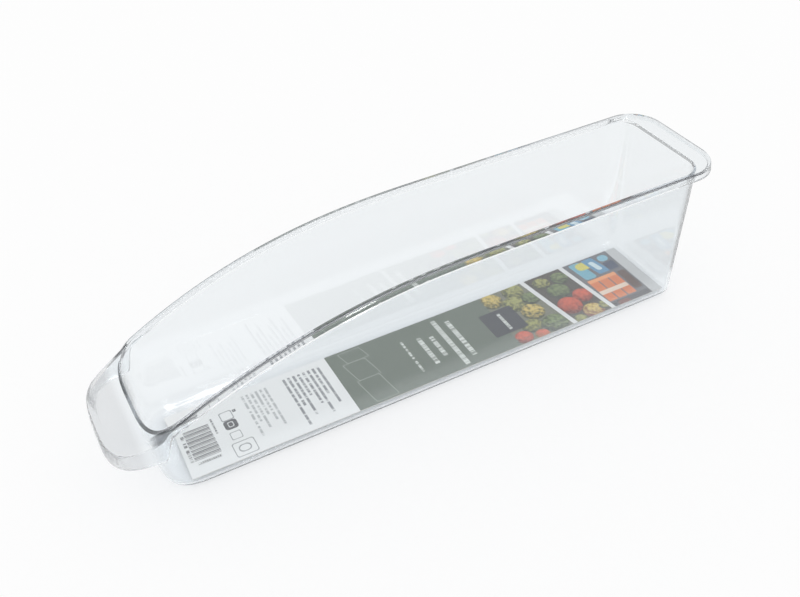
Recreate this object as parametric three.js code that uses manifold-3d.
import * as THREE from 'three';
import { mergeVertices } from 'three/addons/utils/BufferGeometryUtils.js';
import Module from 'manifold-3d';

// Clear storage tray for a fridge shelf: one moulding with a pull at the front, a tab at the rear
// and a rim that rises from the low front to the high rear. A printed card lies loose on its floor.
// Millimetres, +Z up, pull towards -Y, origin at the base under the middle of the length.

// Overall sizes
const overallLength = 308;
const overallHeight = 79;

// Tray walls. The mouth is measured at the rear rim, and the walls lean out from the base up
const mouthWidth = 60.4;
const wallThickness = 1.2;
const floorThickness = 2;
const sideLean = 4.9;
const rearLean = 0.4;
const frontLean = 4.2;
const frontFlare = 1.1;
const frontFlareLength = 148;
const pullReach = 16.2;
const tabReach = 11.3;
const rearRimRadius = 12.7;
const rearBaseRadius = 8;
const frontCornerLength = 22;
const footRadius = 4.6;
const wellSideRadius = 2.5;
const wellEndRadius = 1.2;

// Rim: it falls a little in a straight line from the rear, then in a curve down to the front,
// where the pull's plate carries on
const straightRimLength = 136.5;
const rimFall = 1.6;
const frontRimHeight = 41.8;
const pullTopLength = 22;
const pullTipHeight = 34.3;

// Lip outside the rim, which is also the edge of the tab. Its face leans in by its slope
const lipOverhang = 1.15;
const lipSlope = 0.5;
const lipHeight = 3.8;
const plateThickness = 2;
const skirtThickness = 1.8;
const hollowSideInset = 7;
const hollowEndLength = 8;

// Pull: a plate with a rolled edge and a skirt for the fingers
const pullWidth = 59.4;
const pullCornerLength = 29.4;
const pullNeckStart = 8;
const pullNeckLength = 22;
const pullRollRadius = 3;
const skirtDraft = 0.4;
const skirtTipHeight = 25.2;
const skirtRise = 2;
const skirtLength = 21.5;
const skirtEndLength = 5;

// Tab
const tabCornerRadius = 17;

// Card: it fills the flat of the floor but for these gaps
const cardThickness = 0.35;
const cardNearGap = 1.2;
const cardFarGap = 4.2;
const cardFrontGap = 0.9;
const cardRearGap = 0.4;

// Powers of the curves: 2 is an ellipse, higher is squarer or steeper
const rimCurvePower = 2.34;
const frontCornerPower = 3.6;
const pullCornerPower = 3.5;
const circlePower = 2;

// Facets
const cornerSteps = 12;
const sideSteps = 18;
const flareSteps = 6;
const skirtEndSteps = 4;
const filletSteps = 4;

// Solids that cut run this far past what they cut
const overrun = 3;

const frontEnd = -overallLength / 2;
const rearEnd = overallLength / 2;
const frontWall = frontEnd + pullReach;
const rearWall = rearEnd - tabReach;
const curveStart = rearEnd - straightRimLength;
const plateStart = frontEnd + pullTopLength;
const pullCornerEnd = frontEnd + pullCornerLength;
const skirtEnd = frontEnd + skirtLength;
const tabSideEnd = rearEnd - tabCornerRadius;
const rimHalf = mouthWidth / 2 + wallThickness;
const quarterTurn = Math.PI / 2;

const wasm = await Module();
wasm.setup();

// Blend from 0 to 1 that starts and ends level
function ease(share) {
  const t = Math.min(Math.max(share, 0), 1);
  return t * t * (3 - 2 * t);
}

function mix(from, to, share) {
  return from + (to - from) * share;
}

// Height of the upper surface of rim, pull and tab at a place along the length
function rimHeight(y) {
  if (y >= rearWall) return overallHeight;
  const fall = rimFall / (rearWall - plateStart);
  const straight = overallHeight - fall * (rearWall - y);
  if (y >= curveStart) return straight;
  const drop = overallHeight - rimFall - frontRimHeight;
  const run = curveStart - plateStart;
  if (y >= plateStart) return straight - drop * ((curveStart - y) / run) ** rimCurvePower;
  const steady = (fall + (drop * rimCurvePower) / run) * pullTopLength;
  const past = (plateStart - y) / pullTopLength;
  return frontRimHeight - steady * past + (steady - frontRimHeight + pullTipHeight) * past ** 2;
}

// Half the outer width of the side walls, which lean out, and flare towards the front
function wallHalf(z, y) {
  const lean = (sideLean * (overallHeight - z)) / overallHeight;
  const flare = (frontFlare * z) / frontRimHeight;
  return rimHalf - lean + flare * (1 - ease((y - frontWall) / frontFlareLength));
}

// How far the pull's skirt has taken over from the lip: 0 on the lip, 1 on the pull
function pullShare(y) {
  return 1 - ease((y - skirtEnd) / skirtEndLength);
}

// Half the width over the lip or the pull, which narrows to its own width over its neck
function collarHalf(y) {
  const widening = ease((y - frontEnd - pullNeckStart) / pullNeckLength);
  return mix(pullWidth / 2, wallHalf(rimHeight(y), y) + lipOverhang, widening);
}

// Lower edge of the lip, the pull's skirt or the tab
function collarFoot(y) {
  const skirt = skirtTipHeight + (skirtRise * (y - frontEnd)) / pullReach;
  return mix(rimHeight(y) - lipHeight, skirt, pullShare(y));
}

// A right half from the front middle to the rear middle becomes a closed outline,
// anticlockwise from above, in which points i and (count - i) mirror each other
function mirrored(rightSide) {
  const leftSide = rightSide.slice(1, -1).map(([x, y, z]) => [-x, y, z]);
  return [...rightSide, ...leftSide.reverse()];
}

// Closed solid through a stack of such outlines, with its ends bridged across the width
function loft(outlines) {
  const count = outlines[0].length;
  const triangles = [];
  const quad = (a, b, c, d) => triangles.push(a, b, c, a, c, d);
  for (let level = 1; level < outlines.length; level += 1) {
    for (let i = 0; i < count; i += 1) {
      const next = (i + 1) % count;
      const below = (level - 1) * count;
      const above = level * count;
      quad(below + i, below + next, above + next, above + i);
    }
  }
  const top = (outlines.length - 1) * count;
  triangles.push(count - 1, 1, 0, top, top + 1, top + count - 1);
  for (let i = 1; i < count / 2 - 1; i += 1) {
    quad(count - i, count - i - 1, i + 1, i);
    quad(top + i, top + i + 1, top + count - i - 1, top + count - i);
  }
  const rear = count / 2;
  triangles.push(rear + 1, rear, rear - 1, top + rear - 1, top + rear, top + rear + 1);
  const geometry = new THREE.BufferGeometry();
  geometry.setAttribute('position', new THREE.Float32BufferAttribute(outlines.flat(2), 3));
  geometry.setIndex(triangles);
  return geometry;
}

function toSolid(geometry) {
  const bare = geometry.clone();
  bare.deleteAttribute('normal');
  bare.deleteAttribute('uv');
  const merged = mergeVertices(bare);
  return new wasm.Manifold(
    new wasm.Mesh({
      numProp: 3,
      vertProperties: new Float32Array(merged.attributes.position.array),
      triVerts: new Uint32Array(merged.index.array),
    }),
  );
}

function toGeometry(solid) {
  const mesh = solid.getMesh();
  const geometry = new THREE.BufferGeometry();
  geometry.setAttribute('position', new THREE.Float32BufferAttribute(mesh.vertProperties, 3));
  geometry.setIndex(new THREE.Uint32BufferAttribute(mesh.triVerts, 1));
  geometry.computeVertexNormals();
  return geometry;
}

// Level outline of the tray at a height, moved in from the outer walls
function trayOutline(z, sideInset, endInset) {
  const front = frontWall + frontLean * (1 - z / frontRimHeight) + endInset;
  const rear = rearWall - (rearLean * (overallHeight - z)) / overallHeight - endInset;
  const bow = frontCornerLength - endInset;
  const corner = mix(rearBaseRadius, rearRimRadius, z / overallHeight);
  const right = [];
  const add = (y, share, cut) => right.push([(wallHalf(z, y) - sideInset) * share - cut, y, z]);
  for (let i = 0; i <= cornerSteps; i += 1) {
    const turn = (quarterTurn * i) / cornerSteps;
    const share = Math.sin(turn) ** (2 / frontCornerPower);
    add(front + bow * (1 - Math.cos(turn) ** (2 / frontCornerPower)), share, 0);
  }
  for (let i = 1; i <= flareSteps; i += 1) {
    add(front + mix(bow, frontFlareLength, i / flareSteps), 1, 0);
  }
  for (let i = 0; i <= cornerSteps; i += 1) {
    const turn = (quarterTurn * i) / cornerSteps;
    const cut = (corner - sideInset) * (1 - Math.cos(turn));
    add(rear - (corner - endInset) * (1 - Math.sin(turn)), 1, cut);
  }
  add(rear, 0, 0);
  return mirrored(right);
}

// Upright solid in the shape of the tray, rounded where it meets its base
function traySolid(base, wall, sideRadius, endRadius) {
  const outlines = [];
  for (let i = 0; i <= filletSteps; i += 1) {
    const turn = (quarterTurn * i) / filletSteps;
    const shareIn = 1 - Math.sin(turn);
    const rise = sideRadius * (1 - Math.cos(turn));
    outlines.push(trayOutline(base + rise, wall + sideRadius * shareIn, wall + endRadius * shareIn));
  }
  outlines.push(trayOutline(overallHeight + overrun, wall, wall));
  return toSolid(loft(outlines));
}

// Places on a corner of the collar, from its side to its end: across and along are shares
// of the corner's width and length
function cornerPlaces(start, width, length, power) {
  const places = [];
  for (let i = 0; i <= cornerSteps; i += 1) {
    const turn = (quarterTurn * i) / cornerSteps;
    const across = Math.cos(turn) ** (2 / power);
    const along = Math.sin(turn) ** (2 / power);
    places.push({ start, width, length, across, along });
  }
  return places;
}

// Extra places on the pull's corner, where its skirt ends
function skirtEndPlaces() {
  const places = [];
  for (let i = 0; i <= skirtEndSteps; i += 1) {
    const along = (pullCornerEnd - skirtEnd - (skirtEndLength * i) / skirtEndSteps) / pullCornerLength;
    const across = (1 - along ** pullCornerPower) ** (1 / pullCornerPower);
    places.push({ start: pullCornerEnd, width: Infinity, length: -pullCornerLength, across, along });
  }
  return places;
}

// Places round the collar's right side, from the front middle to the rear middle
function collarPlaces() {
  const pull = cornerPlaces(pullCornerEnd, Infinity, -pullCornerLength, pullCornerPower);
  pull.push(...skirtEndPlaces());
  pull.sort((a, b) => b.along - a.along);
  pull[0].across = 0;
  const tab = cornerPlaces(tabSideEnd, tabCornerRadius, tabCornerRadius, circlePower);
  const middle = { start: tabSideEnd, width: Infinity, length: tabCornerRadius, across: 0, along: 1 };
  const sides = [];
  for (let i = 1; i < sideSteps; i += 1) {
    const start = mix(pullCornerEnd, tabSideEnd, i / sideSteps);
    sides.push({ start, width: Infinity, length: 0, across: 1, along: 0 });
  }
  return [...pull, ...sides, ...tab, middle];
}

// Outline of the collar, moved in by inset(y), with its height given by height(y, own y)
function collarOutline(inset, height) {
  const right = collarPlaces().map(({ start, width, length, across, along }) => {
    const outerY = start + length * along;
    const moved = inset(outerY);
    const half = collarHalf(outerY);
    const corner = Math.min(width, half) - moved;
    const y = start + (length - Math.sign(length) * moved) * along;
    return [half - moved - corner * (1 - across), y, height(outerY, y)];
  });
  return mirrored(right);
}

// Lip, pull and tab as one solid: a sloping edge on the lip and tab that turns into
// an upright skirt with a round upper edge on the pull
function collarSolid() {
  const outlines = [collarOutline(() => 0, (outerY) => collarFoot(outerY))];
  for (let i = 0; i <= filletSteps; i += 1) {
    const turn = (quarterTurn * i) / filletSteps;
    const roll = skirtDraft + pullRollRadius * (1 - Math.cos(turn));
    const rollDepth = pullRollRadius * (1 - Math.sin(turn));
    const share = (i + 1) / (filletSteps + 1);
    const inset = (y) => mix(lipSlope * share, roll, pullShare(y));
    const depth = (y) => mix(lipHeight * (1 - share), rollDepth, pullShare(y));
    outlines.push(collarOutline(inset, (outerY, y) => rimHeight(y) - depth(outerY)));
  }
  return toSolid(loft(outlines));
}

// The hollow under the pull and the tab. Along the sides it stays inside the walls
function collarHollow() {
  const pullEnd = (y) => 1 - ease((y - pullCornerEnd) / hollowEndLength);
  const tabEnd = (y) => ease((y - tabSideEnd + hollowEndLength) / hollowEndLength);
  const edge = (y) => mix(hollowSideInset, skirtThickness, Math.max(pullEnd(y), tabEnd(y)));
  const roof = (y) => mix(edge(y), skirtDraft + pullRollRadius, pullShare(y));
  const shoulder = (y) => mix(lipHeight, pullRollRadius, pullShare(y));
  return toSolid(
    loft([
      collarOutline(edge, (outerY) => collarFoot(outerY) - overrun),
      collarOutline(edge, (outerY, y) => rimHeight(y) - shoulder(outerY)),
      collarOutline(roof, (outerY, y) => rimHeight(y) - plateThickness),
    ]),
  );
}

// Everything below a surface that runs half a plate under the rim
function belowRim() {
  const reach = rimHalf + overrun;
  const places = collarPlaces().map(({ start, length, along }) => start + length * along);
  const profile = places.map((y) => new THREE.Vector2(y, rimHeight(y) - plateThickness / 2));
  profile.push(new THREE.Vector2(rearEnd, -overrun), new THREE.Vector2(frontEnd, -overrun));
  const options = { depth: 2 * reach, bevelEnabled: false };
  const geometry = new THREE.ExtrudeGeometry(new THREE.Shape(profile), options);
  const turned = new THREE.Matrix4().makeBasis(
    new THREE.Vector3(0, 1, 0),
    new THREE.Vector3(0, 0, 1),
    new THREE.Vector3(1, 0, 0),
  );
  geometry.applyMatrix4(turned);
  geometry.translate(-reach, 0, 0);
  return toSolid(geometry);
}

function binGeometry() {
  const tray = traySolid(0, 0, footRadius, footRadius).intersect(belowRim());
  const collar = collarSolid().subtract(collarHollow());
  const well = traySolid(floorThickness, wallThickness, wellSideRadius, wellEndRadius);
  return toGeometry(tray.add(collar).subtract(well));
}

// Places along the length where an outline's right side is a given distance from the middle
function outlineEnds(outline, x) {
  const places = [];
  for (let i = 1; i <= outline.length / 2; i += 1) {
    const [x0, y0] = outline[i - 1];
    const [x1, y1] = outline[i];
    if (x0 < x !== x1 < x) places.push(mix(y0, y1, (x - x0) / (x1 - x0)));
  }
  return { front: Math.min(...places), rear: Math.max(...places) };
}

// The card lies flat on the floor, a little nearer to the +X side, clear of the rounded corners
function cardMesh(material) {
  const flat = trayOutline(floorThickness, wallThickness + wellSideRadius, wallThickness + wellEndRadius);
  const flatHalf = Math.max(...flat.map(([x]) => x));
  const near = flatHalf - cardNearGap;
  const far = cardFarGap - flatHalf;
  const ends = outlineEnds(flat, near);
  const front = ends.front + cardFrontGap;
  const rear = ends.rear - cardRearGap;
  const card = new THREE.Mesh(new THREE.BoxGeometry(near - far, rear - front, cardThickness), material);
  card.position.set((near + far) / 2, (front + rear) / 2, floorThickness + cardThickness / 2);
  return card;
}

const clearPlastic = new THREE.MeshStandardMaterial({
  name: 'clear plastic',
  color: 0xe9eef1,
  roughness: 0.06,
  metalness: 0,
  transparent: true,
  opacity: 0.35,
});
const printedCard = new THREE.MeshStandardMaterial({
  name: 'printed card',
  color: 0x7a857c,
  roughness: 0.55,
  metalness: 0,
});

const bin = new THREE.Mesh(binGeometry(), clearPlastic);
bin.name = 'bin';

const card = cardMesh(printedCard);
card.name = 'card_insert';

const organizer = new THREE.Group();
organizer.name = 'fridge_organizer';
organizer.add(bin, card);

export default organizer;
